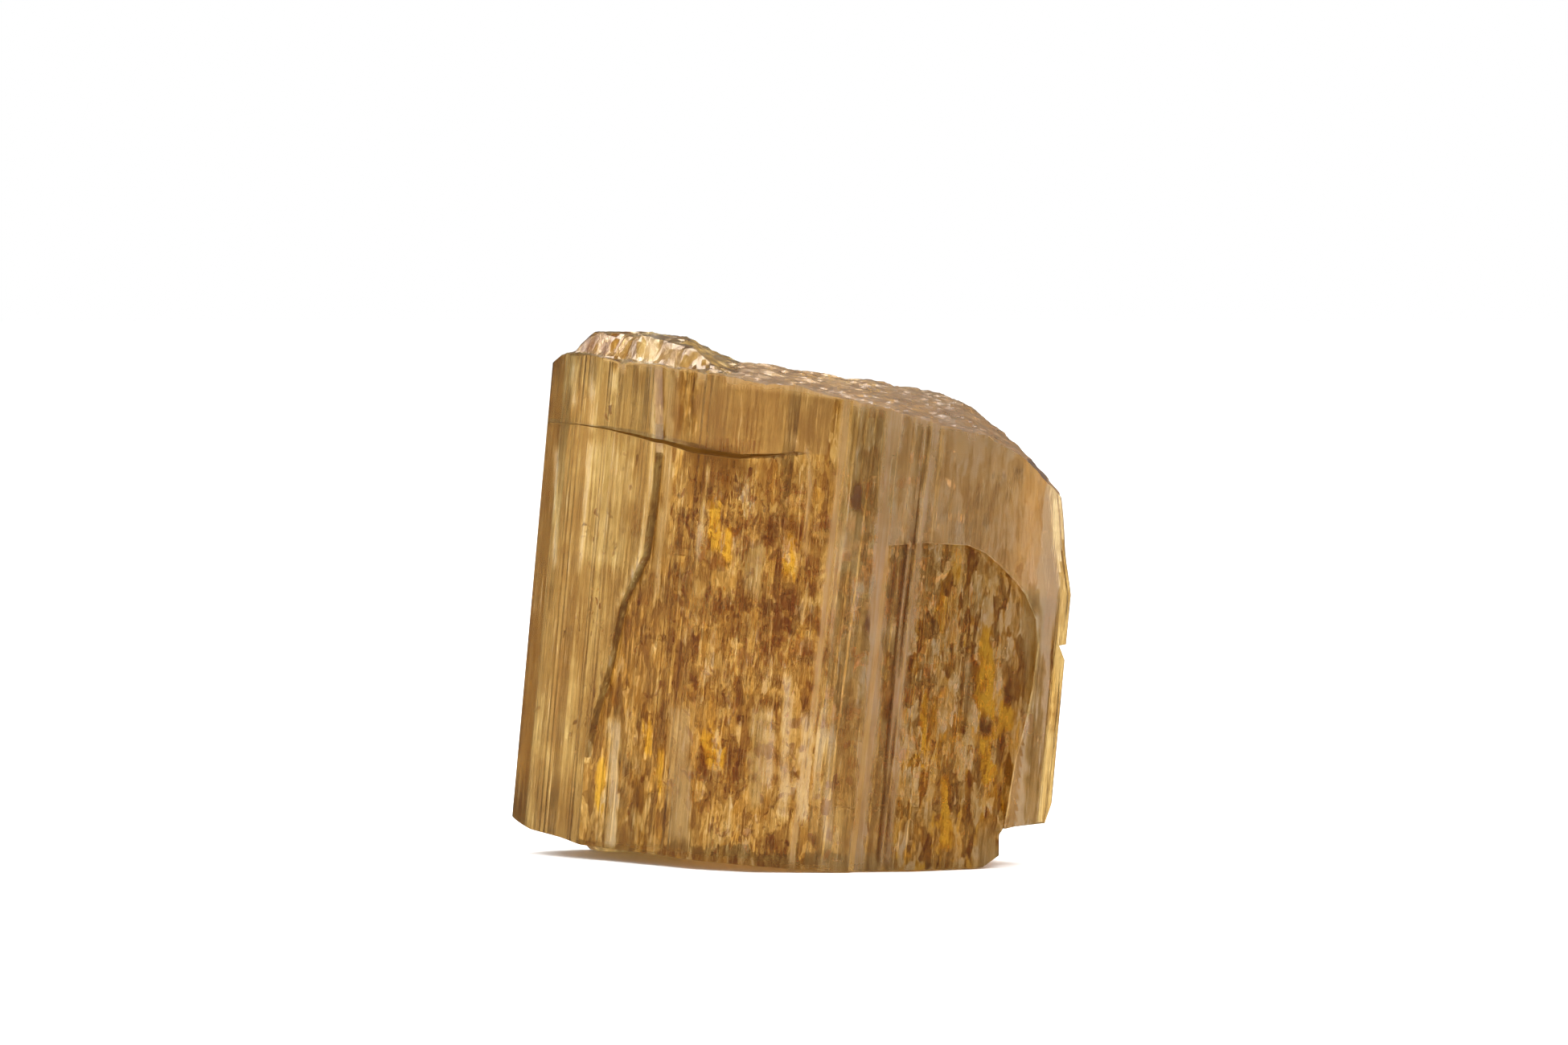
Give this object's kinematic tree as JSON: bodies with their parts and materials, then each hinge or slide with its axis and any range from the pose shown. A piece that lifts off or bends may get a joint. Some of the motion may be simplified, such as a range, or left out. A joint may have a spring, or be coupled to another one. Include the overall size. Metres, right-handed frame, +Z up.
{
  "type": "topaz crystal",
  "caption": "Golden brown topaz prism, striated along its length, with growth layers on its sides and a rough cleavage break at each end; it stands on its lower break.",
  "frame": {"origin": "centre of the bounding box, on the surface the crystal stands on", "axes": "+X to the right across the widest view, +Y from the striated front to the back, +Z up; the crystal's long axis leans 5.2 degrees from +Z towards +X"},
  "size_m": [0.0176, 0.011, 0.0166],
  "materials": {
    "topaz": "clear to cloudy golden brown, glassy, striated along the prism"
  },
  "bodies": {
    "root": {"topaz_crystal": "topaz"}
  },
  "joints": []
}
